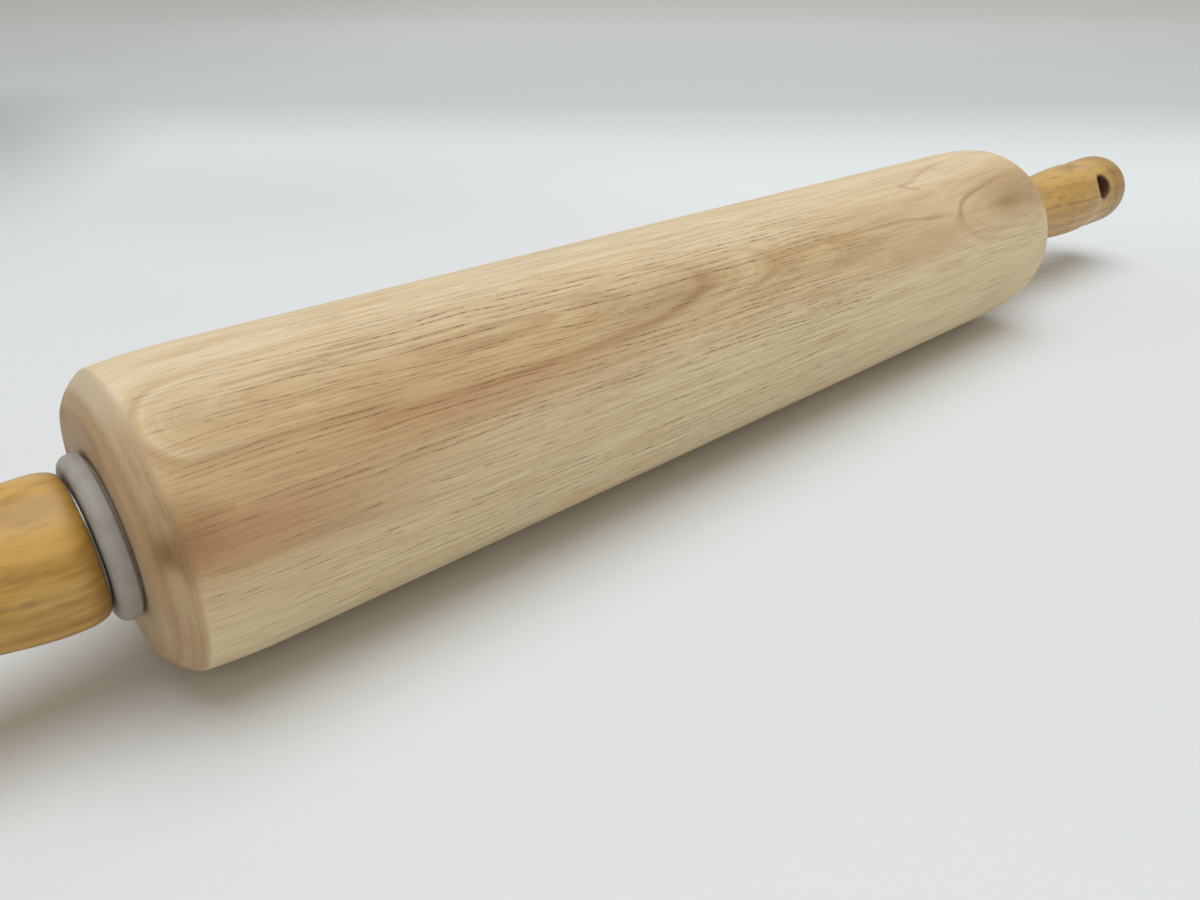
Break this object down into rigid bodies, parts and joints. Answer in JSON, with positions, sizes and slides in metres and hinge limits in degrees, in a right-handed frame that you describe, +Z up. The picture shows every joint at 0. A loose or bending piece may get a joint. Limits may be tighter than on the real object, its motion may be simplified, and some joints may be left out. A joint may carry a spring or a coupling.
{
  "type": "barrel rolling pin",
  "caption": "Wooden rolling pin whose barrel turns on a steel rod held by turned handles, with a hanging hole near a handle tip.",
  "frame": {"origin": "middle of the barrel on its axis", "axes": "+X along the pin towards the handle with the hanging hole, +Z up as it lies on a table, -Y towards the viewer"},
  "size_m": [0.5224, 0.06, 0.06],
  "materials": {
    "roller_wood": "bare sanded hardwood, matte",
    "handle_wood": "clear lacquer over golden hardwood, satin gloss",
    "bushing_nylon": "moulded grey nylon, satin",
    "rod_steel": "drawn steel rod",
    "washer_steel": "stamped steel, dull polish"
  },
  "bodies": {
    "handle_set": {"axle_rod": "rod_steel", "left_thrust_washer": "washer_steel", "right_thrust_washer": "washer_steel", "left_handle": "handle_wood", "right_handle": "handle_wood"},
    "barrel": {"roller": "roller_wood", "left_bushing": "bushing_nylon", "right_bushing": "bushing_nylon"}
  },
  "joints": [
    {"name": "barrel_spin", "type": "hinge", "parent": "handle_set", "child": "barrel", "pos_m": [0, 0, 0], "axis": [1, 0, 0], "continuous": true}
  ]
}
